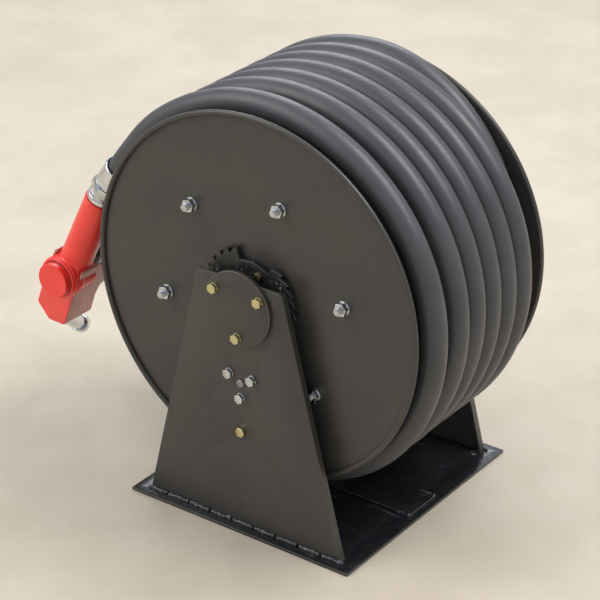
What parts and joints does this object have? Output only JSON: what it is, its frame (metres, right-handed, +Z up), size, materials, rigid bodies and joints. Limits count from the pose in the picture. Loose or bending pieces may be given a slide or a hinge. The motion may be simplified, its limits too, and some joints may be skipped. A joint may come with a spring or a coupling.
{
  "type": "hose reel",
  "caption": "Floor-standing hose reel: two folded uprights on a plate carry a spring-rewind drum with a ratchet latch, rubber hose and a swivelling trigger nozzle",
  "frame": {"origin": "centre of the base plate's underside, in the middle of the four floor bolts", "axes": "+X to the right along the front upright, +Y from the front upright to the rear one along the drum's axis, +Z up"},
  "size_m": [0.7205, 0.449, 0.624],
  "materials": {
    "base_paint": "gloss black enamel on steel, scuffed and dusty",
    "frame_paint": "semi-gloss black enamel on folded steel sheet",
    "drum_paint": "satin black enamel on spun steel sheet",
    "ratchet_steel": "flame-cut steel, black enamel",
    "yellow_zinc": "yellow-passivated zinc plate",
    "bright_zinc": "bright zinc plate",
    "turned_steel": "turned steel",
    "spring_steel": "blued spring steel",
    "cast_iron": "grey cast iron, machined faces",
    "bronze": "sintered bronze",
    "seal_rubber": "nitrile rubber",
    "hose_rubber": "wrap-finished black rubber hose",
    "fitting_chrome": "polished stainless steel",
    "nozzle_alloy": "die-cast aluminium",
    "red_vinyl": "glossy dipped red vinyl",
    "pink_vinyl": "milky translucent vinyl",
    "lever_black": "black textured coating"
  },
  "bodies": {
    "frame": {"base_plate": "base_paint", "base_bar": "base_paint", "front_upright": "frame_paint", "rear_upright": "frame_paint", "weld_beads": "base_paint", "end_cap": "frame_paint", "cap_bolts": "yellow_zinc", "cap_washers": "yellow_zinc", "cap_nuts": "yellow_zinc", "main_shaft": "turned_steel", "shaft_collar": "turned_steel", "pawl_bracket": "frame_paint", "pawl_bolts": "bright_zinc", "pawl_washers": "bright_zinc", "pawl_pin": "turned_steel", "pawl_spacer": "bronze", "detent_spring": "spring_steel", "anchor_screw": "yellow_zinc", "rear_bearing": "cast_iron", "rear_bolts": "bright_zinc", "rear_washers": "bright_zinc", "rear_nuts": "bright_zinc", "rear_bush": "bronze", "shaft_seals": "seal_rubber"},
    "drum": {"front_disc": "drum_paint", "rear_disc": "drum_paint", "core_tube": "drum_paint", "tie_rods": "bright_zinc", "tie_nuts_front": "bright_zinc", "tie_washers_front": "bright_zinc", "tie_nuts_rear": "bright_zinc", "tie_washers_rear": "bright_zinc", "ratchet_wheel": "ratchet_steel", "hub_screws": "yellow_zinc", "front_hub": "cast_iron", "front_bush": "bronze", "spring_case": "drum_paint", "spring_cover": "drum_paint", "power_spring": "spring_steel", "rear_hub": "cast_iron", "outlet_riser": "turned_steel", "riser_collar": "bright_zinc", "hose_winding": "hose_rubber", "hose_tail": "hose_rubber", "hose_ferrule": "fitting_chrome", "swivel_coupling": "fitting_chrome"},
    "pawl": {"pawl": "ratchet_steel"},
    "nozzle": {"swivel_tail": "fitting_chrome", "nozzle_body": "nozzle_alloy", "nozzle_cover": "red_vinyl", "cover_cap": "red_vinyl", "valve_cap": "nozzle_alloy", "valve_spring": "spring_steel", "lever_guard": "nozzle_alloy", "splash_skirt": "pink_vinyl", "spout": "fitting_chrome", "spout_tip": "fitting_chrome", "lever_pin": "turned_steel"},
    "lever": {"lever": "lever_black"},
    "valve": {"valve_stem": "turned_steel"}
  },
  "joints": [
    {"name": "drum_spin", "type": "hinge", "parent": "frame", "child": "drum", "pos_m": [0, 0, 0.343], "axis": [0, 1, 0], "range_deg": [-12, 216]},
    {"name": "pawl_swing", "type": "hinge", "parent": "frame", "child": "pawl", "pos_m": [0, -0.158, 0.228], "axis": [0, 1, 0], "range_deg": [0, 28]},
    {"name": "nozzle_swivel", "type": "hinge", "parent": "drum", "child": "nozzle", "pos_m": [-0.27761, -0.126, 0.41672], "axis": [0.5976, 0, 0.8018], "range_deg": [0, 90]},
    {"name": "lever_squeeze", "type": "hinge", "parent": "nozzle", "child": "lever", "pos_m": [-0.36028, -0.08, 0.25234], "axis": [0.8934, 0, -0.4493], "range_deg": [0, 15], "stiffness_Nm_per_rad": 2, "springref_deg": -8.59},
    {"name": "valve_lift", "type": "slide", "parent": "nozzle", "child": "valve", "axis": [0, -1, 0], "range_m": [0, 0.0053], "deforming": ["valve_spring"]}
  ],
  "couplings": [
    {"joint": "valve_lift", "follows": "lever_squeeze", "m_per_rad": 0.0202}
  ]
}
